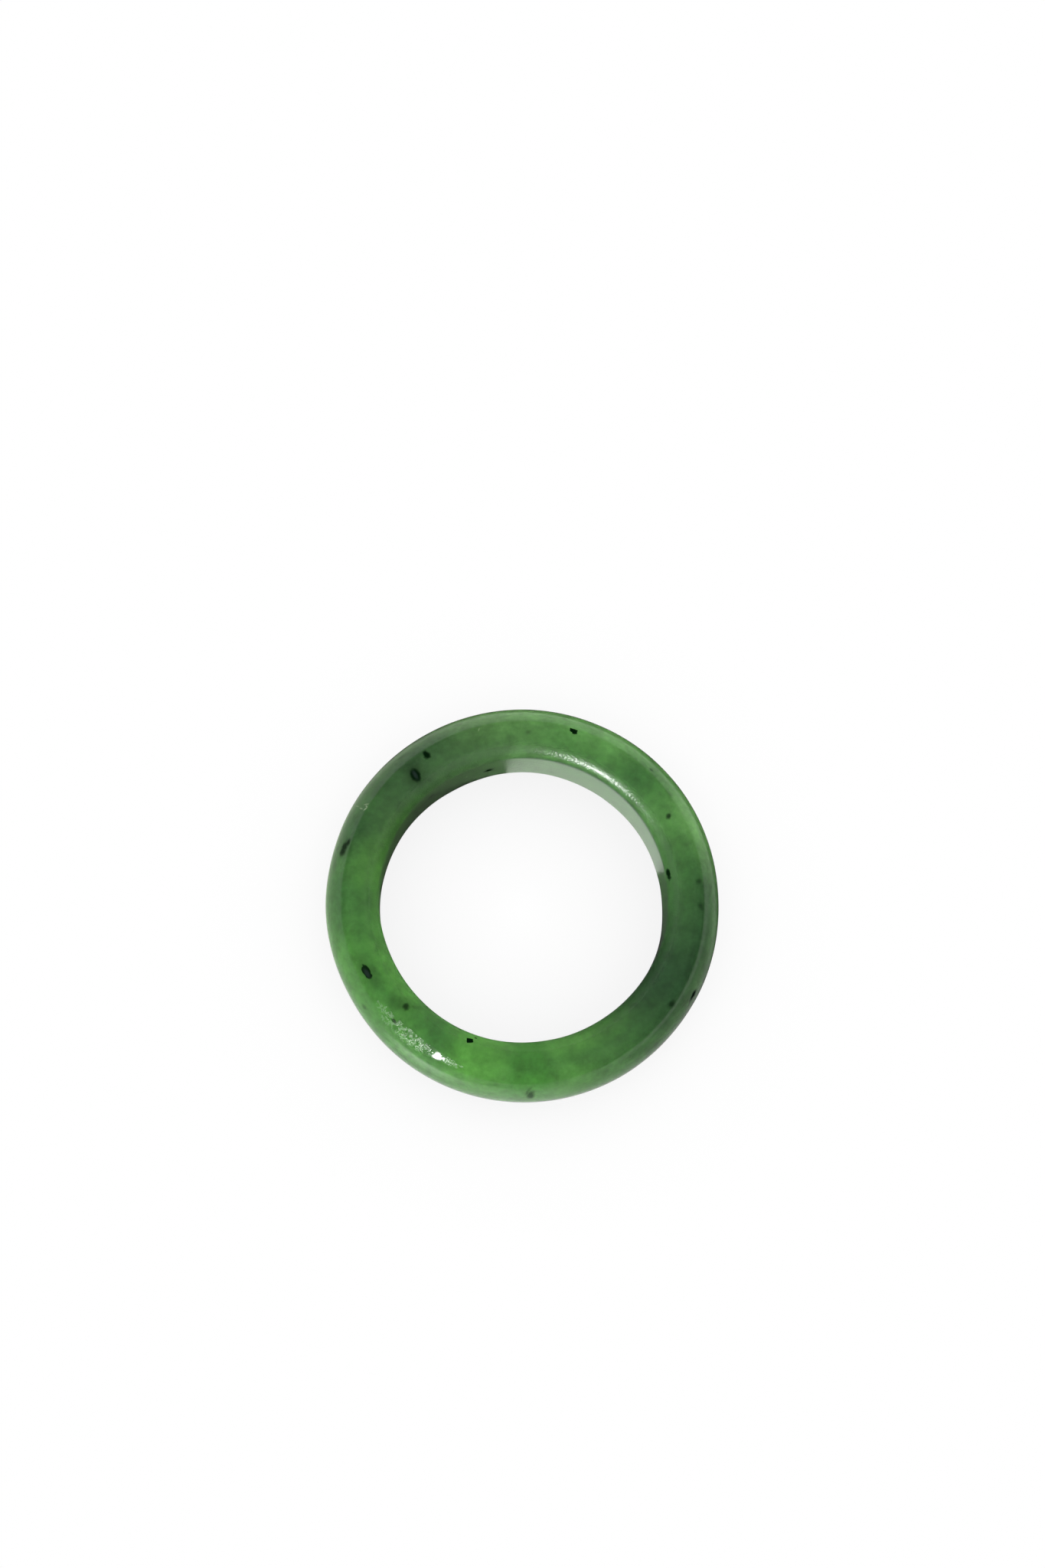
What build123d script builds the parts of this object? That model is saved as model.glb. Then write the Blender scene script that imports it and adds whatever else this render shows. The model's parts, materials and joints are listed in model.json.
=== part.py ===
from build123d import *

import os
from math import atan2, degrees

# A plain finger ring cut from one piece of jade. Millimetres, +Z up.
# The ring lies on its side, as on a table, so its axis is upright. The origin is the
# centre of the finger bore, halfway through the band's width.

# Driving dimensions
bore_diameter = 18.0  # where the finger goes
wall = 3.5  # from the bore to the outermost point of the band
band_width = 5.8  # along the finger, from one side of the band to the other
inner_round = 0.95  # radius of the rounded mouth, at both ends of the bore
crest_land = 0.6  # radial width of the lapped flat on each side, which the ring lies on
shoulder_radius = 1.1  # of the arc between each flat and the bulging outside

# Worked out from them
bore_radius = bore_diameter / 2
outer_radius = bore_radius + wall
half_width = band_width / 2
bore_half_length = half_width - inner_round
land_start = bore_radius + inner_round
land_end = land_start + crest_land


def girdle_arc(run, rise):
    """Radius of the arc that bulges round the outside, and the turn at which it takes over.

    With the shoulder arc it makes a quarter of a three-centred oval, run wide and rise high.
    The shoulder arc starts level at the top and its centre is shoulder_radius below it. The
    girdle arc ends upright at the foot, with its centre on the foot's level. They meet without
    a corner when the distance between the two centres is the difference of the radii.
    """
    centre_height = rise - shoulder_radius
    girdle_radius = (run**2 + centre_height**2 - shoulder_radius**2) / (2 * (run - shoulder_radius))
    return girdle_radius, degrees(atan2(girdle_radius - run, centre_height))


def ring_band():
    """The whole ring: its section, drawn in the XZ plane, turned once about the axis."""
    girdle_radius, shoulder_turn = girdle_arc(outer_radius - land_end, half_width)
    girdle_turn = 90 - shoulder_turn
    with BuildPart() as band:
        with BuildSketch(Plane.XZ):
            with BuildLine():
                # Upper side: rounded mouth, land and shoulder
                CenterArc((land_start, bore_half_length), inner_round, 180, -90)
                Line((land_start, half_width), (land_end, half_width))
                CenterArc((land_end, half_width - shoulder_radius), shoulder_radius, 90, -shoulder_turn)
                # Lower side, the same
                mirror(about=Plane.XZ)
                # Straight bore and bulging girdle join the two
                Line((bore_radius, -bore_half_length), (bore_radius, bore_half_length))
                CenterArc((outer_radius - girdle_radius, 0), girdle_radius, girdle_turn, -2 * girdle_turn)
            make_face()
        revolve(axis=Axis.Z)
    print(f"girdle arc {girdle_radius:.3f}, which takes over from the shoulder at {shoulder_turn:.1f} degrees")
    print(f"outside diameter {2 * outer_radius:.2f}, straight bore {2 * bore_half_length:.2f} long")
    print(f"volume {band.part.volume:.3f} cubic millimetres")
    return band.part


os.makedirs("parts", exist_ok=True)
export_step(ring_band(), "parts/ring_band.step")
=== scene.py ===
# %% [markdown]
# # A jade ring
#
# This notebook dresses a finger ring that was cut from a single piece of green jade. The plain
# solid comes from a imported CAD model. Here it gets the small faults of hand grinding, the depth
# of a translucent stone, its clouds and dark grains, and the light of a small studio.

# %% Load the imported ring
import json
import math

import bpy
import numpy as np
from mathutils import Matrix, Vector


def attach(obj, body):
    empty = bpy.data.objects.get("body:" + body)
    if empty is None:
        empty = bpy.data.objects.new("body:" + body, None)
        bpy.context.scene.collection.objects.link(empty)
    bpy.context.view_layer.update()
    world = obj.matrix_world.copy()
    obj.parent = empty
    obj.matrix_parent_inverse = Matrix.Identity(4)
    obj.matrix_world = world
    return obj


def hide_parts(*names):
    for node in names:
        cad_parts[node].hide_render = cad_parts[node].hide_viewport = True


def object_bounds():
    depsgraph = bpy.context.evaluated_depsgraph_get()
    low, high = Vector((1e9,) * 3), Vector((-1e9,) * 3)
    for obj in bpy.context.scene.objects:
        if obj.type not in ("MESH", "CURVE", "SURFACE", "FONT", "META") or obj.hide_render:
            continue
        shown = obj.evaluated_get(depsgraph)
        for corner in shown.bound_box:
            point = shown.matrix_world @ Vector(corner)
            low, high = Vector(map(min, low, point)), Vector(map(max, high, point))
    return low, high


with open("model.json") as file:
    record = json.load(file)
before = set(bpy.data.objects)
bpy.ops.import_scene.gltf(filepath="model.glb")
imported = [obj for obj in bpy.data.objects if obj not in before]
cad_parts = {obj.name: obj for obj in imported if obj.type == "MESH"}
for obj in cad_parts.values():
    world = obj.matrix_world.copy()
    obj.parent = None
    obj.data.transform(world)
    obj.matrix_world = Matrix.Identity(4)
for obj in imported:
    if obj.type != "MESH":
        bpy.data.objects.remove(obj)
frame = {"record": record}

MM = 0.001  # one millimetre in Blender's metres
cad_low, cad_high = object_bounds()
print("CAD box, mm:", [round(v / MM, 2) for v in (*cad_low, *cad_high)])

# %% [markdown]
# ## The sizes
#
# A ring is one cross-section turned round the finger. The section has a straight bore, a rounded
# mouth at each end of it, a narrow flat on each side where the ring was lapped, a tight shoulder
# and a long bulging outside, called the girdle. Most of these sizes can be read from the frame:
# the bore is a mount with a radius and a length, and the middle of the flat is where the ring
# rests. The girdle is one arc that leaves the shoulder without a corner, so its radius follows.

# %% Read the sizes from the frame
mounts = {mount["name"]: mount for mount in frame["record"]["mounts"]}
bore_radius = mounts["finger_bore"]["dims"]["r_mm"] * MM
bore_length = mounts["finger_bore"]["dims"]["length_mm"] * MM
outer_radius = cad_high.x
half_width = cad_high.z
mouth_radius = half_width - bore_length / 2
land_start = bore_radius + mouth_radius
land_width = 2 * (mounts["rest_face"]["pos_m"][0] - land_start)
land_end = land_start + land_width
shoulder_radius = 1.1 * MM

run = outer_radius - land_end
centre_height = half_width - shoulder_radius
girdle_radius = (run**2 + centre_height**2 - shoulder_radius**2) / (2 * (run - shoulder_radius))
shoulder_turn = math.atan2(girdle_radius - run, centre_height)
print(f"bore radius {bore_radius / MM:.2f} mm, mouth radius {mouth_radius / MM:.2f} mm")
print(f"flat {land_width / MM:.2f} mm wide, girdle radius {girdle_radius / MM:.2f} mm")
print(f"shoulder turn {math.degrees(shoulder_turn):.1f} degrees")

# %% [markdown]
# ## The section
#
# The section is a walk: so far straight on, then so far while turning at an even rate, and so on
# until the walker is back at the start. A walk needs no list of points, keeps every joint smooth,
# and gives the direction that the surface faces for nothing, because that is always square to the
# walker's heading.

# %% Walk round the section
def walk(start, heading, pieces, step):
    """Places and headings along straight runs and arcs that follow each other smoothly.

    A piece is (length, turn). After a distance s along it, the heading is the old one less
    turn * s / length. On a straight run the place moves by s along the heading. On an arc of
    radius length / turn it moves by the radius times (sin old - sin new, cos new - cos old).
    """
    places, headings = [], []
    x, y = start
    for length, turn in pieces:
        s = np.arange(0, 1, 1 / math.ceil(length / step)) * length
        new = heading - turn * s / length
        if turn:
            radius = length / turn
            dx = radius * (math.sin(heading) - np.sin(new))
            dy = radius * (np.cos(new) - math.cos(heading))
            end = heading - turn
            x_end = x + radius * (math.sin(heading) - math.sin(end))
            y_end = y + radius * (math.cos(end) - math.cos(heading))
        else:
            dx, dy = s * math.cos(heading), s * math.sin(heading)
            end = heading
            x_end, y_end = x + length * math.cos(heading), y + length * math.sin(heading)
        places.append(np.stack([x + dx, y + dy], axis=-1))
        headings.append(new)
        x, y, heading = x_end, y_end, end
    return np.concatenate(places), np.concatenate(headings), (x, y)


quarter = math.pi / 2
mouth = (mouth_radius * quarter, quarter)
land = (land_width, 0.0)
shoulder = (shoulder_radius * shoulder_turn, shoulder_turn)
girdle_turn = 2 * (quarter - shoulder_turn)
girdle = (girdle_radius * girdle_turn, girdle_turn)
section_step = 0.12 * MM
section, heading, end = walk(
    start=(bore_radius, -bore_length / 2),
    heading=quarter,
    pieces=[(bore_length, 0.0), mouth, land, shoulder, girdle, shoulder, land, mouth],
    step=section_step,
)
facing = np.stack([-np.sin(heading), np.cos(heading)], axis=-1)
gap = math.dist(end, section[0]) / MM
print(f"{len(section)} points round the section, closing to {gap:.6f} mm")

# %% [markdown]
# ## Ground by hand
#
# A ring like this is held to a grinding wheel by hand, so it is never quite round. The outside
# and the bore each have a few flats and swells, about a tenth of a millimetre high. Each is a bell
# curve in the angle round the ring, so it needs three numbers: where, how far it spreads, and how
# high it stands. Bell curves fade to nothing, so they can be added up without making a corner.

# %% Flats and swells
# where in degrees round the ring, spread in degrees, height in millimetres, minus for a flat
OUTSIDE_SWELLS = [
    (210, 24, -0.12),
    (166, 12, -0.06),
    (0, 24, -0.08),
    (85, 45, 0.06),
    (278, 22, 0.04),
    (325, 12, -0.03),
]
BORE_SWELLS = [
    (115, 20, -0.11),
    (62, 20, -0.05),
    (180, 18, 0.07),
    (243, 25, 0.06),
    (345, 10, 0.06),
    (305, 22, -0.03),
]


def swell(angle, rows):
    """The sum of bell curves: height * exp(-(angle from at / spread) squared), angles wrapped."""
    total = np.zeros_like(angle)
    for at, spread, height in rows:
        away = (angle - math.radians(at) + math.pi) % (2 * math.pi) - math.pi
        total += height * MM * np.exp(-((away / math.radians(spread)) ** 2))
    return total


whole_turn = np.linspace(0, 2 * math.pi, 361)
for name, rows in (("outside", OUTSIDE_SWELLS), ("bore", BORE_SWELLS)):
    heights = swell(whole_turn, rows) / MM
    print(f"{name}: from {heights.min():.2f} to {heights.max():.2f} mm out of round")

# %% [markdown]
# Polishing then leaves low waves that run mostly round the ring. They can't be seen as such, but
# they make the edge of a reflection waver, which is how polished stone is told from moulded glass.

# %% Polishing waves
def polishing_waves(angle, along, seed, count, height):
    """Low waves left by polishing: a sum of cosines of whole waves round the ring and the section.

    Each wave has a whole number of crests in both directions, so it closes on itself, a random
    phase, and a height that falls as its crests get closer together.
    """
    rng = np.random.default_rng(seed)
    total = np.zeros(np.broadcast(angle, along).shape)
    full_height_crests = 10
    for _ in range(count):
        around, across = rng.integers(6, 34), rng.integers(-3, 4)
        phase = rng.uniform(0, 2 * math.pi)
        wave = np.cos(around * angle + 2 * math.pi * across * along + phase)
        total += wave * full_height_crests / around
    return total * height / math.sqrt(count)


# %% [markdown]
# ## The band
#
# The section is carried round the finger on a grid: angle one way, distance round the section the
# other. Both ways close on themselves, so the mesh is a torus with no seam and no pole. The grid
# is fine enough for the mirror polish to show no facets. The outside's faults fade out towards the
# bore and the bore's towards the outside.

# %% Turn the section into a band
steps_round = 720
angle = np.arange(steps_round)[:, None] * (2 * math.pi / steps_round)
along = np.arange(len(section))[None, :] / len(section)
reach, height = section[None, :, 0], section[None, :, 1]
outwardness = (reach - bore_radius) / (outer_radius - bore_radius)
ground = outwardness * swell(angle, OUTSIDE_SWELLS) + (1 - outwardness) * swell(angle, BORE_SWELLS)
waves = polishing_waves(angle, along, seed=5, count=40, height=0.006 * MM)
band_reach = reach + ground + waves * facing[None, :, 0]
band_height = height + waves * facing[None, :, 1]
print("polishing waves:", round(float(np.abs(waves).max()) / MM, 3), "mm at most")

# %% [markdown]
# Wear has rubbed the upper shoulder nearly flat in one place, at the lower left. The depth that is
# rubbed off is itself a bell curve round the ring, so the flat fades in and out. Everywhere else
# the line that the stone is pressed back to lies clear above it, and nothing is taken off.

# %% Rub the shoulder
def rub_flat(reach, height, tilt, depth, softness):
    """Press whatever stands past a sloping line back on to it, easing over the softness.

    A point stands out by reach * sin(tilt) + height * cos(tilt). The line lies the depth below
    the point that stands out most. The excess over the line, eased by
    softness * log(1 + exp(excess / softness)), is taken off along the same slope.
    """
    out = reach * math.sin(tilt) + height * math.cos(tilt)
    excess = out - out.max(axis=1, keepdims=True) + depth
    taken = softness * np.logaddexp(0, excess / softness)
    return reach - taken * math.sin(tilt), height - taken * math.cos(tilt)


WORN_PLACE = [(231.5, 15, 0.16)]
clear_elsewhere = 0.06 * MM
rubbed = swell(angle, WORN_PLACE) - clear_elsewhere
band_reach, band_height = rub_flat(
    band_reach, band_height, tilt=math.radians(35), depth=rubbed, softness=0.012 * MM
)
print("rubbed down by up to", round(float(rubbed.max()) / MM, 3), "mm")

# %% [markdown]
# All that is left is to turn the two tables, reach and height, into points, and to join each point
# to its neighbours with four-sided faces.

# %% Make the mesh
def closed_grid(name, points):
    """A mesh from a grid of points that closes on itself both ways, with its faces outwards.

    The point in row i and column j has the number i * columns + j. Its face goes up to the next
    column, across to the next row and back down. The last row and column lead to the first.
    """
    rows, columns = points.shape[:2]
    i, j = np.meshgrid(np.arange(rows), np.arange(columns), indexing="ij")
    right, up = (i + 1) % rows, (j + 1) % columns
    here, there = i * columns, right * columns
    faces = np.stack([here + j, here + up, there + up, there + j], axis=-1)
    mesh = bpy.data.meshes.new(name)
    mesh.from_pydata(points.reshape(-1, 3).tolist(), [], faces.reshape(-1, 4).tolist())
    mesh.shade_smooth()
    piece = bpy.data.objects.new(name, mesh)
    bpy.context.scene.collection.objects.link(piece)
    return piece


band_x, band_y = band_reach * np.cos(angle), band_reach * np.sin(angle)
jade_band = closed_grid("jade_band", np.stack([band_x, band_y, band_height], axis=-1))
vertices, triangles = len(jade_band.data.vertices), 2 * len(jade_band.data.polygons)
print("band:", vertices, "vertices,", triangles, "triangles")

# %% [markdown]
# ## Jade
#
# Nephrite is a felt of green fibres. Light goes a few millimetres into it, is scattered, and comes
# out elsewhere, which is why the side away from the lamp glows too. That is subsurface scattering,
# with green going deepest. The polished skin over it is a plain mirror. The material is put
# together from small helpers, so that each line below says one thing about the stone.

# %% Helpers that add shader nodes
jade = bpy.data.materials.new("jade")
jade.use_nodes = True
tree = jade.node_tree
tree.nodes.clear()


def add(kind, inputs=None, **settings):
    """A node of that kind in the tree that is being built.

    Settings are the node's own. Inputs are numbers, colours or sockets to link.
    """
    node = tree.nodes.new("ShaderNode" + kind)
    for key, value in settings.items():
        setattr(node, key, value)
    for key, value in (inputs or {}).items():
        if isinstance(value, bpy.types.NodeSocket):
            tree.links.new(value, node.inputs[key])
        else:
            node.inputs[key].default_value = value
    return node


def maths(operation, *values):
    """The result of one sum: add, multiply, maximum and so on."""
    return add("Math", dict(enumerate(values)), operation=operation.upper()).outputs[0]


def rescale(value, low, high, to_low, to_high, smooth=False):
    """A value moved from one range to another and kept inside it, evenly or with eased ends."""
    ease = "SMOOTHSTEP" if smooth else "LINEAR"
    inputs = {0: value, 1: low, 2: high, 3: to_low, 4: to_high}
    return add("MapRange", inputs, interpolation_type=ease).outputs[0]


def noise(space, per_mm, detail=2.0, rough=0.5):
    """Cloudy noise from 0 to 1 with that many lumps in a millimetre."""
    inputs = {"Vector": space, "Scale": per_mm, "Detail": detail, "Roughness": rough}
    return add("TexNoise", inputs).outputs["Fac"]


def vary(space, per_mm, low, high, **settings):
    """Cloudy noise whose usual range, 0.3 to 0.7, is stretched to run from low to high."""
    return rescale(noise(space, per_mm, **settings), 0.3, 0.7, low, high)


def mix(amount, first, second):
    """A colour on the way from the first to the second."""
    return add("Mix", {0: amount, 6: first, 7: second}, data_type="RGBA").outputs[2]


def scaled(vector, factor):
    """A vector or a colour times a number."""
    return add("VectorMath", {0: vector, "Scale": factor}, operation="SCALE").outputs[0]


def in_millimetres():
    """The piece's own coordinates, in millimetres."""
    return scaled(add("TexCoord").outputs["Object"], 1 / MM)


# %% [markdown]
# Three kinds of coordinates are used, all in millimetres. Plain ones suit even noise. Wavering
# ones give small grains a ragged outline. Unrolled ones are the distance round the ring, the reach
# from its axis and the height, so that a long cloud follows the band as it bends.

# %% Coordinates
plain = in_millimetres()
shiver = add("TexNoise", {"Vector": plain, "Scale": 3.0, "Detail": 2.0}).outputs["Color"]
shiver = add("VectorMath", {0: shiver, 1: (-0.5, -0.5, -0.5)}, operation="ADD").outputs[0]
shiver_width = (0.22, 0.22, 0.22)
inputs = {0: shiver, 1: shiver_width, 2: plain}
wavering = add("VectorMath", inputs, operation="MULTIPLY_ADD").outputs[0]

middle_reach = (bore_radius + outer_radius) / 2 / MM
x, y, z = add("SeparateXYZ", {0: plain}).outputs
radius = maths("sqrt", maths("add", maths("multiply", x, x), maths("multiply", y, y)))


def unroll(turned):
    """Distance round the ring, reach and height, with the cut opposite the direction turned to.

    The distance is the angle from that direction times the middle reach. The angle's tangent is
    the part of (x, y) aside of the direction over the part ahead.
    """
    a = math.radians(turned)
    ahead = maths("add", maths("multiply", x, math.cos(a)), maths("multiply", y, math.sin(a)))
    aside = maths("subtract", maths("multiply", y, math.cos(a)), maths("multiply", x, math.sin(a)))
    round_it = maths("multiply", maths("arctan2", aside, ahead), middle_reach)
    return add("CombineXYZ", {0: round_it, 1: radius, 2: z}).outputs[0]


unrolled = {turned: unroll(turned) for turned in (0, 180)}
print("a turn is", round(2 * math.pi * middle_reach, 1), "mm long at the middle reach")

# %% [markdown]
# Every cloud, grain and worn patch is a soft blob in one of these spaces. A blob is cheap, has no
# edge unless one is asked for, and goes through the stone, so a mark on the skin and the stone
# under it agree.

# %% Soft blobs
def blob(space, centre, size, turn, edge, boxy=False):
    """1 inside an ellipsoid, or a rounded box, and 0 outside, easing over its edge.

    The space is moved and turned to the blob and divided by its half sizes. The length of that
    vector is 1 on the ellipsoid. Squaring each part first gives a rounded box.
    """
    half = [side / 2 for side in size]
    inputs = {"Vector": space, "Location": centre, "Rotation": turn, "Scale": half}
    local = add("Mapping", inputs, vector_type="TEXTURE").outputs[0]
    if boxy:
        local = add("VectorMath", {0: local, 1: local}, operation="MULTIPLY").outputs[0]
    away = add("VectorMath", {0: local}, operation="LENGTH").outputs["Value"]
    return rescale(away, 1 + edge, 1 - edge, 0.0, 1.0, smooth=True)


def zone(at, reach, height, long, wide, slant=0, deep=6.0, edge=0.7):
    """A blob that follows the band: long is measured round the ring, wide outwards from its axis.

    Its distance round is its angle, less the direction turned to, times the middle reach. Of the
    two unrolled spaces it takes the one whose cut is on the other side of the ring.
    """
    turned = 0 if math.cos(math.radians(at)) > 0 else 180
    round_it = math.radians((at - turned + 180) % 360 - 180) * middle_reach
    turn = (0, 0, math.radians(slant))
    return blob(unrolled[turned], (round_it, reach, height), (long, wide, deep), turn, edge)


# %% [markdown]
# The green is not even. Darker, cooler stone lies in some stretches of the ring and lighter,
# yellower stone in others. Many clouds are also painted light and shade: darker where the lamps
# only graze the ring, lighter where the stone should glow more than the lamps make it. Each cloud
# is a blob that follows the band, and pulls the green some of the way towards one of a few others.

# %% Clouds, partly painted light and shade
GREENS = {
    "stone": (0.066, 0.172, 0.047, 1),
    "deep": (0.022, 0.073, 0.025, 1),
    "ash": (0.073, 0.139, 0.053, 1),
    "leaf": (0.050, 0.172, 0.029, 1),
    "spring": (0.111, 0.302, 0.058, 1),
    "milk": (0.180, 0.377, 0.127, 1),
}
# degrees round the ring, reach, height, long, wide (mm), slant, edge, green, how strong
CLOUDS_AND_PAINTED_LIGHT = [
    (225, 10.5, 1.5, 20.0, 7.0, 0, 0.6, "leaf", 0.42),
    (228, 10.4, 2.5, 4.0, 3.0, 0, 0.7, "spring", 0.13),
    (118, 10.6, 1.0, 13.0, 7.0, 0, 0.6, "ash", 0.8),
    (125, 11.1, 1.5, 5.5, 2.1, 0, 0.7, "deep", 0.6),
    (312, 10.3, 1.5, 6.0, 5.0, 0, 0.7, "deep", 0.22),
    (331, 10.6, 1.0, 8.0, 7.0, 0, 0.7, "deep", 0.95),
    (350, 10.6, 1.0, 7.0, 5.0, 0, 0.7, "deep", 0.44),
    (8, 9.3, 1.5, 7.0, 1.6, 0, 0.7, "deep", 0.3),
    (4, 11.4, 1.5, 8.0, 2.2, 0, 0.7, "deep", 0.55),
    (29, 10.5, 2.5, 4.0, 1.6, 0, 0.7, "milk", 0.15),
    (330, 10.2, 1.5, 2.8, 3.0, 0, 0.7, "deep", 0.45),
    (326, 9.5, 2.0, 5.0, 1.8, 0, 0.7, "deep", 0.3),
    (336, 11.6, 1.5, 6.0, 1.2, 0, 0.7, "deep", 0.5),
    (137, 9.6, 2.0, 3.0, 1.6, 0, 0.7, "deep", 0.25),
    (48, 10.5, 2.5, 1.8, 2.0, 0, 0.7, "deep", 0.2),
    (204, 10.4, 2.5, 5.6, 2.2, 0, 0.7, "deep", 0.32),
    (200, 11.3, 2.5, 5.4, 2.0, 0, 0.7, "spring", 0.3),
    (287, 9.6, 2.5, 4.0, 1.3, 0, 0.7, "spring", 0.35),
    (22, 11.4, 2.0, 4.5, 1.2, 0, 0.7, "milk", 0.25),
    (114, 9.6, 1.5, 10.0, 1.8, 0, 0.7, "deep", 0.42),
    (156, 9.15, 2.3, 6.5, 1.1, 0, 0.7, "spring", 0.36),
    (185, 9.05, 2.2, 8.0, 0.9, 0, 0.7, "spring", 0.25),
    (48, 10.6, 1.5, 5.0, 3.0, 0, 0.6, "deep", 0.3),
    (74, 10.8, 1.5, 4.4, 3.0, 0, 0.7, "deep", 0.14),
    (146, 11.3, 1.5, 6.0, 3.2, 0, 0.6, "deep", 0.45),
    (166, 11.8, 1.5, 2.8, 1.8, 0, 0.7, "deep", 0.4),
    (27, 11.9, 1.5, 3.0, 2.4, 0, 0.6, "milk", 0.3),
    (17, 12.3, 1.0, 5.0, 2.0, 0, 0.6, "spring", 0.4),
    (338, 12.4, 1.0, 13.0, 1.7, 0, 0.7, "stone", 0.9),
    (64, 11.1, 1.5, 4.4, 2.0, 0, 0.7, "milk", 0.3),
    (105, 12.3, 1.0, 8.0, 1.8, 0, 0.7, "spring", 0.1),
    (65, 12.4, 1.5, 17.0, 2.2, 0, 0.6, "spring", 0.25),
    (92, 11.0, 1.5, 7.0, 3.4, 0, 0.7, "milk", 0.22),
    (168, 10.2, 2.0, 3.4, 3.6, 0, 0.35, "spring", 0.33),
    (209, 9.7, 2.5, 6.0, 1.2, 0, 0.7, "spring", 0.42),
    (254, 10.0, 2.5, 4.0, 4.0, 0, 0.7, "spring", 0.5),
    (285, 11.6, 2.5, 3.0, 2.0, 0, 0.6, "spring", 0.2),
    (302, 9.7, 2.5, 4.0, 1.2, 0, 0.7, "spring", 0.15),
    (185, 12.2, 1.0, 16.0, 3.0, 0, 0.7, "leaf", 0.4),
    (160, 11.5, 2.0, 2.6, 2.0, 0, 0.7, "deep", 0.5),
    (180, 11.4, 1.0, 5.0, 2.0, 0, 0.7, "deep", 0.4),
    (240, 10.6, 2.5, 1.6, 2.2, 0, 0.7, "deep", 0.3),
    (233, 9.9, 2.5, 2.4, 2.0, 30, 0.6, "deep", 0.25),
    (272, 10.8, 2.5, 2.4, 5.0, 0, 0.4, "leaf", 0.7),
]
colour = GREENS["stone"]
for at, reach, height, long, wide, slant, edge, green, strength in CLOUDS_AND_PAINTED_LIGHT:
    amount = maths("multiply", zone(at, reach, height, long, wide, slant, edge=edge), strength)
    colour = mix(amount, colour, GREENS[green])

print(len(CLOUDS_AND_PAINTED_LIGHT), "clouds in", len(GREENS), "greens")

# %% [markdown]
# A thin line of painted shade, standing in for a dark reflection, follows the rim between the mouth
# and the bore on the far side. Over everything lies a mottle of a millimetre or so, with a finer
# grit in it.

# %% Painted rim shade, mottle and grit
rim_shade = zone(at=57, reach=9.02, height=2.05, long=13.0, wide=0.4, deep=0.55, edge=0.5)
colour = mix(maths("multiply", rim_shade, 0.75), colour, GREENS["deep"])

mottle = vary(plain, 0.8, 0.78, 1.22, detail=4.0, rough=0.65)
grit = vary(plain, 3.0, 0.91, 1.09)
colour = scaled(colour, maths("multiply", mottle, grit))

# %% [markdown]
# Dark grains of another mineral sit in the stone, as they do in most nephrite. Some are cut by the
# surface and look crisp and black. Others lie just under it and look soft. A grain is a small blob
# laid in the surface, and its outline wavers. Those with the hardest edges are boxes, as crystals
# are.

# %% Grains
# degrees round the ring, reach, height, long, wide (mm), heading seen from above, edge, how dark
GRAINS = [
    (74.0, 11.10, 2.78, 0.32, 0.28, -20, 0.20, 1.0),
    (73.1, 11.03, 2.79, 0.34, 0.36, -20, 0.20, 1.0),
    (88.6, 10.49, 2.90, 0.30, 0.25, 0, 0.80, 0.35),
    (124.2, 10.83, 2.85, 0.46, 0.38, -55, 0.40, 1.0),
    (124.5, 10.93, 2.83, 0.60, 0.34, -70, 0.40, 1.0),
    (131.7, 10.25, 2.90, 0.98, 0.64, -62, 0.40, 1.0),
    (131.7, 10.25, 2.90, 1.50, 1.00, -65, 0.90, 0.45),
    (131.0, 11.88, 1.98, 0.35, 0.30, 0, 0.80, 0.35),
    (165.5, 11.70, 2.14, 0.66, 0.58, 58, 0.60, 0.9),
    (164.1, 11.67, 2.19, 0.80, 0.56, 60, 0.60, 0.9),
    (162.8, 11.55, 2.37, 0.50, 0.34, 62, 0.60, 0.9),
    (206.3, 10.84, 2.84, 0.92, 0.46, -56, 0.22, 0.97),
    (204.6, 10.87, 2.84, 0.50, 0.22, -64, 0.40, 0.9),
    (206.0, 10.80, 2.84, 1.70, 0.95, -50, 0.95, 0.35),
    (223.5, 10.04, 2.90, 0.50, 0.45, 0, 0.60, 0.85),
    (222.0, 10.10, 2.90, 1.40, 0.80, -20, 0.95, 0.35),
    (225.8, 9.70, 2.80, 0.95, 0.24, -8, 0.90, 0.35),
    (224.1, 11.22, 2.64, 0.34, 0.22, -60, 0.50, 0.8),
    (214.5, 12.00, 1.61, 0.32, 0.28, 0, 0.80, 0.5),
    (249.6, 9.59, 2.81, 0.42, 0.32, 5, 0.15, 1.0),
    (251.2, 9.32, 2.61, 0.16, 0.14, 0, 0.40, 0.85),
    (272.1, 12.22, 1.42, 0.90, 0.45, 88, 0.60, 0.75),
    (271.2, 12.05, 1.75, 0.80, 0.20, 80, 0.80, 0.5),
    (323.9, 11.32, 2.56, 0.50, 0.42, 20, 0.70, 0.75),
    (330.6, 12.16, 1.40, 0.80, 0.42, 75, 0.55, 1.0),
    (357.1, 11.04, 2.76, 0.45, 0.35, -40, 0.80, 0.55),
    (5.3, 10.97, 2.80, 0.36, 0.30, 0, 0.75, 0.5),
    (9.8, 9.18, 2.46, 0.60, 0.40, -60, 0.40, 1.0),
    (8.2, 9.16, 2.50, 0.44, 0.34, -30, 0.50, 0.95),
    (29.5, 10.41, 2.90, 0.32, 0.28, 30, 0.60, 0.8),
    (45.6, 11.49, 2.45, 0.26, 0.20, -40, 0.60, 0.6),
    (104.1, 9.00, -0.04, 0.64, 0.80, 14, 0.50, 1.0),
    (130.6, 9.00, 0.73, 0.50, 0.60, 40, 0.70, 0.6),
    (78.0, 9.00, -1.05, 0.40, 0.60, -12, 0.80, 0.35),
]


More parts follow.
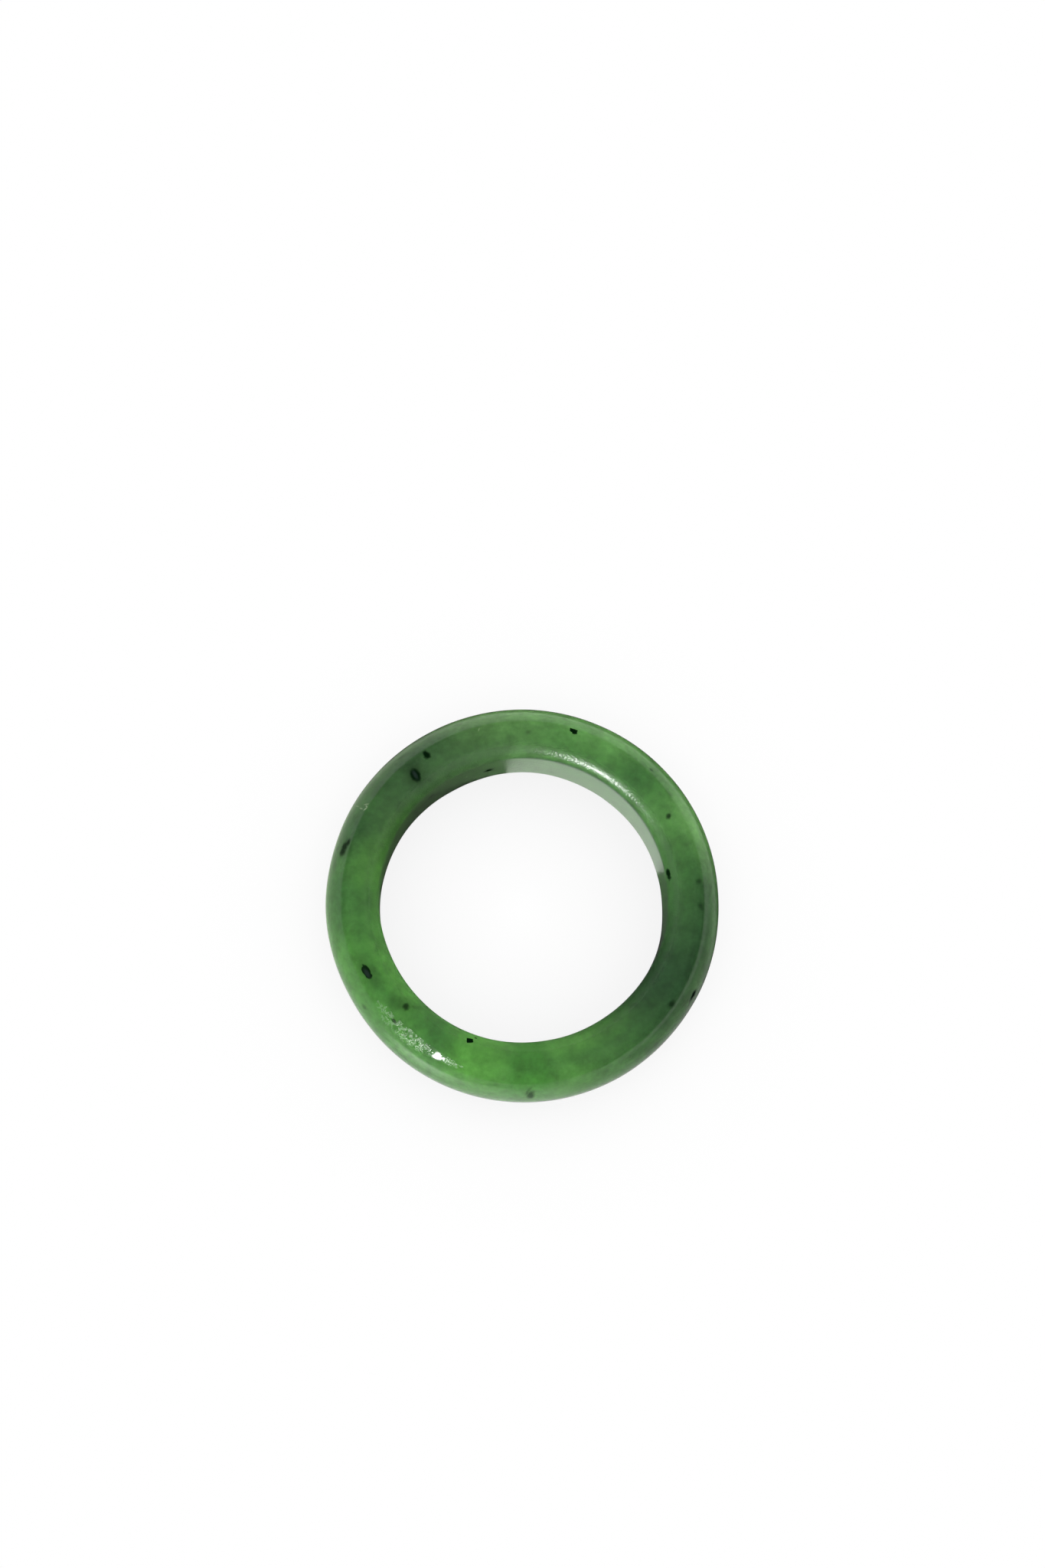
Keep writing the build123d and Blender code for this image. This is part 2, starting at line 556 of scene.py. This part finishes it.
def lie_on_band(at, reach, height, heading):
    """The middle of a mark and the turn that lays it in the surface, long side along the heading.

    The normal is that of the nearest point of the section. The long side is the level heading
    less its part along the normal, and the third side is square to both.
    """
    a = math.radians(at)
    nearest = np.hypot(section[:, 0] - reach * MM, section[:, 1] - height * MM).argmin()
    outward, up = facing[nearest]
    normal = Vector((outward * math.cos(a), outward * math.sin(a), up))
    along_it = Vector((math.cos(math.radians(heading)), math.sin(math.radians(heading)), 0))
    along_it = (along_it - along_it.dot(normal) * normal).normalized()
    turn = Matrix((along_it, normal.cross(along_it), normal)).transposed().to_euler()
    return (reach * math.cos(a), reach * math.sin(a), height), turn


GRAIN_BLACK = (0.0020, 0.0125, 0.0030, 1)
grain_thickness, crystal_edge = 0.8, 0.3
darkness = 0.0
for at, reach, height, long, wide, heading, edge, dark in GRAINS:
    centre, turn = lie_on_band(at, reach, height, heading)
    size = (long, wide, grain_thickness)
    grain = blob(wavering, centre, size, turn, edge, boxy=edge < crystal_edge)
    darkness = maths("maximum", darkness, maths("multiply", grain, dark))
colour = mix(darkness, colour, GRAIN_BLACK)
print(len(GRAINS), "grains")

# %% [markdown]
# A few marks are paler than the stone: a fine squiggle of a scratch at the upper left, two flecks,
# and a painted glint, a reflection, in the middle of two grains that the surface has cut through.

# %% Pale flecks, a scratch and two painted glints
# degrees round the ring, reach, height, long, wide (mm), heading, colour, how strong
# the glint colour is a painted reflection in a cut grain; the scratch colour is the stone's own
PALE = {"scratch": (0.26, 0.36, 0.20, 1), "glint": (0.019, 0.033, 0.027, 1)}
FLECKS = [
    (131.7, 10.28, 2.90, 0.55, 0.22, -60, "glint", 1.0),
    (206.6, 10.86, 2.84, 0.60, 0.24, -56, "glint", 0.9),
    (150.7, 12.02, 1.75, 0.50, 0.07, -30, "scratch", 0.35),
    (151.1, 11.68, 2.22, 0.34, 0.08, -30, "scratch", 0.6),
    (150.8, 11.40, 2.52, 0.28, 0.09, 19, "scratch", 1.0),
    (149.9, 11.42, 2.50, 0.20, 0.09, -43, "scratch", 0.8),
    (149.3, 11.51, 2.41, 0.40, 0.08, -15, "scratch", 0.7),
    (105.0, 11.03, 2.79, 0.26, 0.08, 80, "scratch", 0.5),
    (113.8, 9.00, 0.23, 0.11, 0.36, 24, "scratch", 0.8),
]
fleck_thickness, fleck_edge = 0.6, 0.6
for at, reach, height, long, wide, heading, pale, strength in FLECKS:
    centre, turn = lie_on_band(at, reach, height, heading)
    fleck = blob(plain, centre, (long, wide, fleck_thickness), turn, fleck_edge)
    colour = mix(maths("multiply", fleck, strength), colour, PALE[pale])
print(len(FLECKS), "pale marks")

# %% [markdown]
# ## The skin
#
# The outside is polished like glass. The bore and its mouths are harder to get at and are only
# satin, so there the lamp is drawn out into a broad streak and every reflection is veiled. The
# finish changes with the reach alone, because the wheel followed the ring round.

# %% Polish and satin
best_polish, worst_polish = 0.05, 0.09
glassy = vary(plain, 1.1, best_polish, worst_polish, detail=3.0)
bore_reach = bore_radius / MM
satin_start, satin_full = bore_reach + 1.15, bore_reach + 0.45
satin = rescale(radius, satin_start, satin_full, 0.0, 1.0, smooth=True)
in_bore, in_mouth = 0.31, 0.36
brushing = rescale(radius, bore_reach + 0.10, bore_reach + 0.25, in_bore, in_mouth)
shine = rescale(satin, 0.0, 1.0, 0.5, 0.97)
print(f"satin from a reach of {satin_start:.2f} mm inwards")

# %% [markdown]
# The worn shoulder is frosted in a lacy patch. Lumpy noise is cut off at a level that depends on
# how worn the place is, so the patch is dense in the middle and breaks up into lace at its edge.
# Frost scatters the lamp, and it does so less near the one spot where the lamp itself is mirrored.

# %% Frost
# degrees round the ring, reach, height, long, wide, deep (mm), edge, how strong
WORN = [
    (231.5, 11.26, 2.55, 3.7, 1.05, 2.0, 0.35, 1.05),
    (222.5, 11.26, 2.55, 2.8, 0.95, 2.0, 0.45, 0.92),
    (246.5, 11.25, 2.55, 1.7, 0.60, 2.0, 0.45, 1.0),
]
worn = 0.0
for at, reach, height, long, wide, deep, edge, strength in WORN:
    amount = zone(at, reach, height, long, wide, deep=deep, edge=edge)
    worn = maths("maximum", worn, maths("multiply", amount, strength))

lumps = noise(plain, 4.0, detail=3.0, rough=0.62)
sinking, clear_below, frosted_above = 0.4, 0.42, 0.52
lumps = maths("multiply_add", maths("subtract", worn, 1.0), sinking, lumps)
frosted = rescale(lumps, clear_below, frosted_above, 0.0, 1.0, smooth=True)
frost = noise(plain, 9.0, detail=2.0, rough=0.6)
frosted = maths("multiply", frosted, rescale(frost, 0.38, 0.50, 0.45, 1.0))
near_glint = zone(at=240.5, reach=11.26, height=2.55, long=5.0, wide=1.6, deep=2.0, edge=0.8)
dull, less_dull, unevenness = 0.36, 0.20, 0.16
dull_here = rescale(near_glint, 0.0, 1.0, dull, less_dull)
dullness = maths("multiply_add", noise(plain, 6.0), unevenness, dull_here)
soft_spot = zone(at=241.8, reach=11.32, height=2.5, long=0.60, wide=0.70, deep=2.0, edge=0.6)
print(len(WORN), "overlapping worn patches")

# %% [markdown]
# The dullest finish wins at each place. The ends of the stone's fibres take the polish unevenly,
# so the whole skin sparkles very slightly.

# %% Roughness
frost_dullness = maths("multiply", frosted, dullness)
satin_dullness = maths("multiply", satin, brushing)
roughness = maths("maximum", frost_dullness, satin_dullness)
glint_dullness = 0.19
roughness = maths("maximum", roughness, maths("multiply", soft_spot, glint_dullness))
roughness = maths("maximum", glassy, roughness)
fibre_ends = add("TexWhiteNoise", {"Vector": plain}).outputs["Value"]
fibre_spread = 0.08
roughness = maths("multiply_add", maths("subtract", fibre_ends, 0.5), fibre_spread, roughness)

# %% [markdown]
# Relief of a few hundredths of a millimetre is too fine for the mesh, and it only bends the light:
# a hint of orange peel everywhere, pits in the frost, and the brushing in the bore.

# %% Fine relief
orange_peel = noise(plain, 1.6, detail=1.0)
brush_marks = noise(plain, 7.0, detail=2.0)
peel_height, frost_height, brush_height = 0.004, 0.030, 0.024
fine_height = maths("multiply", orange_peel, peel_height)
pits = maths("multiply", frosted, frost)
fine_height = maths("multiply_add", pits, frost_height, fine_height)
streaks = maths("multiply", satin, brush_marks)
fine_height = maths("multiply_add", streaks, brush_height, fine_height)
relief = add("Bump", {"Height": fine_height, "Distance": 1 * MM, "Strength": 1.0}).outputs[0]

# %% [markdown]
# Now the parts come together. Light wanders inside the stone for a millimetre or so at a time,
# which is short beside the wall, so the ring glows without looking like glass. The grains let no
# light in.

# %% The stone itself
stone = add("BsdfPrincipled", {
    "Base Color": colour,
    "Roughness": roughness,
    "IOR": 1.47,
    "Specular IOR Level": maths("multiply", maths("subtract", 1.0, darkness), shine),
    "Subsurface Weight": maths("subtract", 1.0, darkness),
    "Subsurface Radius": (0.85, 1.0, 0.78),
    "Subsurface Scale": 13.0 * MM,
    "Normal": relief,
})
add("OutputMaterial", {"Surface": stone.outputs["BSDF"]})
jade_band.data.materials.append(jade)
print("jade:", len(tree.nodes), "nodes")

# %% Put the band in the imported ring's place
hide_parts("ring_band")
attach(jade_band, "root")

# %% [markdown]
# ## The studio
#
# The ring lies on a wide pale sheet. A small hard lamp stands low at the lower left. It throws
# light through the finger hole on to the sheet, and the far side of the bore mirrors that bright
# patch. A broad, soft lamp opposite brings up the far side, and a dim room fills the rest.

# %% Directions of the two lamps
# both in degrees, the azimuth from the ring's x axis
KEY = {"azimuth": 236, "elevation": 21.4}
FILL = {"azimuth": 62, "elevation": 20}
print("lamps:", KEY, FILL)

# %% Floor
def floor_sheet(name, size):
    """A square sheet of that size at the height of the ring's underside, facing up."""
    half = size / 2
    square = ((-half, -half), (half, -half), (half, half), (-half, half))
    corners = [(x, y, -half_width) for x, y in square]
    mesh = bpy.data.meshes.new(name)
    mesh.from_pydata(corners, [], [(0, 1, 2, 3)])
    sheet = bpy.data.objects.new(name, mesh)
    bpy.context.scene.collection.objects.link(sheet)
    return sheet


floor = floor_sheet("studio_floor", 4.0)
print("floor at", round(-half_width / MM, 2), "mm")

# %% [markdown]
# The sheet is burnt out to white for the eye, with a breath of painted shade where the ring shuts
# it in. To the stone it gives back plain matt light. What the polish mirrors of it is a painted
# reflection, stated place by place, since a burnt-out sheet has no tones of its own left to mirror.

# %% Paper
paper = bpy.data.materials.new("paper")
paper.use_nodes = True
tree = paper.node_tree
tree.nodes.clear()
rays = add("LightPath")
# painted shade: the backdrop's glow is dimmed where the ring shuts the sheet in
openness = add("AmbientOcclusion", {"Distance": 9 * MM}, samples=8).outputs["AO"]
shut_in = 0.82
glow = rescale(openness, 0.0, 0.92, shut_in, 1.0)
WHITE = (1, 1, 1, 1)
backdrop = add("Emission", {"Color": WHITE, "Strength": glow}).outputs[0]
matt = add("BsdfDiffuse", {"Color": (0.80, 0.80, 0.80, 1), "Roughness": 0.4}).outputs[0]
place = in_millimetres()


def how_far(azimuth, distance):
    """How far each place on the floor is from one that is so many mm from the middle, that way."""
    a = math.radians(azimuth)
    spot = (distance * math.cos(a), distance * math.sin(a), -half_width / MM)
    return add("VectorMath", {0: place, 1: spot}, operation="DISTANCE").outputs["Value"]


# %% [markdown]
# In the painted reflection, the hole's light lies on the sheet as a disc, shifted away from the
# lamp by the ring's height over the slope of the light. Inside the ring only that disc is bright.
# Outside it lies the ring's own shadow, then the open sheet, with two bright spots near the lamp
# and a darker stretch at the right. At the left, light that has come through the stone tints the
# sheet green.

# %% The painted reflection of the paper
ring_height = 2 * half_width / MM
disc_shift = ring_height / math.tan(math.radians(KEY["elevation"]))
lit_through_hole = rescale(how_far(KEY["azimuth"] - 180, disc_shift), 9.75, 9.95, 1.0, 0.0)
in_shadow, in_disc, on_open_sheet = 0.08, 0.93, 0.72
inside = rescale(lit_through_hole, 0.0, 1.0, in_shadow, in_disc)
outside = rescale(how_far(60, 5.0), 12.5, 15.5, in_shadow, on_open_sheet, smooth=True)
darker_right = rescale(how_far(335, 26), 8.0, 24.0, 0.5, 1.0, smooth=True)
outside = maths("multiply", outside, darker_right)
# azimuth in degrees, distance, outer edge and core (mm), how bright
BRIGHT_SPOTS = [(236, 22.5, 8.0, 0.0, 2.2), (265, 23.0, 11.0, 4.0, 0.5)]
for azimuth, distance, edge, core, strength in BRIGHT_SPOTS:
    spot = rescale(how_far(azimuth, distance), edge, core, 0.0, strength, smooth=True)
    outside = maths("add", outside, spot)
is_outside = rescale(how_far(0, 0), 10.5, 11.0, 0.0, 1.0)
brightness = add("Mix", {0: is_outside, 2: inside, 3: outside}).outputs[0]

LEAFY_WHITE = (0.80, 0.96, 0.72, 1)
leafy = rescale(how_far(160, 20), 6.0, 24.0, 1.0, 0.0, smooth=True)
tone = mix(leafy, WHITE, LEAFY_WHITE)
reflection = add("Emission", {"Color": tone, "Strength": brightness}).outputs[0]
print(f"the hole's light lies {disc_shift:.1f} mm from the middle")

# %% Choose by the kind of ray
for_stone = add("MixShader", {0: rays.outputs["Is Glossy Ray"], 1: matt, 2: reflection}).outputs[0]
for_all = add("MixShader", {0: rays.outputs["Is Camera Ray"], 1: for_stone, 2: backdrop}).outputs[0]
add("OutputMaterial", {"Surface": for_all})
floor.data.materials.append(paper)

# %% [markdown]
# Both lamps are so far off that their light is parallel. The polish mirrors only the small one: its
# image is the white spot on the worn shoulder and the streak in the far mouth. The soft lamp only
# feeds the stone.

# %% Lamps
def far_lamp(name, azimuth, elevation, energy, width, mirrored):
    """A lamp so far off that its light is parallel, all angles in degrees.

    The way to it is (cos elevation cos azimuth, cos elevation sin azimuth, sin elevation).
    """
    a, e = math.radians(azimuth), math.radians(elevation)
    way = Vector((math.cos(e) * math.cos(a), math.cos(e) * math.sin(a), math.sin(e)))
    light = bpy.data.lights.new(name, "SUN")
    light.energy, light.angle = energy, math.radians(width)
    lamp = bpy.data.objects.new(name, light)
    lamp.matrix_world = way.to_track_quat("Z", "Y").to_matrix().to_4x4()
    lamp.visible_glossy = mirrored
    bpy.context.scene.collection.objects.link(lamp)


far_lamp("key_lamp", **KEY, energy=3.6, width=0.6, mirrored=True)
far_lamp("fill_lamp", **FILL, energy=2.55, width=8, mirrored=False)
print("lamps:", [lamp.name for lamp in bpy.data.lights])

# %% [markdown]
# The room is white to the eye and dim to the stone, brighter overhead than at the horizon, so that
# the polish has a soft gradient to mirror.

# %% Room
room = bpy.data.worlds.new("room")
room.use_nodes = True
tree = room.node_tree
tree.nodes.clear()
rays = add("LightPath")
upness = add("SeparateXYZ", {0: add("TexCoord").outputs["Generated"]}).outputs["Z"]
horizon, overhead, dimmed = 0.12, 0.26, 0.57
gradient = rescale(upness, 0.0, 1.0, horizon, overhead)
dimmer = rescale(rays.outputs["Is Glossy Ray"], 0.0, 1.0, dimmed, 1.0)
strength = maths("multiply", gradient, dimmer)
dim = add("Background", {"Color": WHITE, "Strength": strength}).outputs[0]
bright = add("Background", {"Color": WHITE, "Strength": 1.0}).outputs[0]
seen = add("MixShader", {0: rays.outputs["Is Camera Ray"], 1: dim, 2: bright}).outputs[0]
add("OutputWorld", {"Surface": seen})
bpy.context.scene.world = room

# %% [markdown]
# ## The camera
#
# The ring is seen from almost straight above, through a 60 mm lens. The camera leans a little
# towards the near side, so the far wall of the bore shows and the near one hides. The ring sits
# below the middle of a tall picture, so the camera is turned a little away from it and not shifted.

# %% Which way is back
lean, towards_far_side = math.radians(9.6), math.radians(79.8)
sideways = math.sin(lean)
back = Vector((
    -sideways * math.cos(towards_far_side),
    -sideways * math.sin(towards_far_side),
    math.cos(lean),
))
upright = Vector((0, 1, 0))
upright = (upright - upright.dot(back) * back).normalized()
right = upright.cross(back)
facing_ring = Matrix((right, upright, back)).transposed()
print("back:", [round(part, 3) for part in back])

# %% Camera
picture_size = (1365, 2048)
ring_in_picture = (682.8, 1180.5)
lens, sensor = 60.0, 36.0
camera_distance = 165.6 * MM
pixel = sensor / lens / max(picture_size)
aside = (ring_in_picture[0] - picture_size[0] / 2) * pixel
below = (ring_in_picture[1] - picture_size[1] / 2) * pixel
looking_at_ring = Vector((aside, -below, -1)).normalized()
turn = Vector((0, 0, -1)).rotation_difference(looking_at_ring).to_matrix()
camera = bpy.data.cameras.new("camera")
camera.lens, camera.sensor_width = lens, sensor
camera.clip_start, camera.clip_end = 0.01, 10
camera_object = bpy.data.objects.new("camera", camera)
aim = (facing_ring @ turn.transposed()).to_4x4()
camera_object.matrix_world = Matrix.Translation(back * camera_distance) @ aim
bpy.context.scene.collection.objects.link(camera_object)
bpy.context.scene.camera = camera_object
bpy.context.scene.view_settings.view_transform = "Standard"
print("camera at, mm:", [round(v / MM, 1) for v in camera_object.matrix_world.translation])
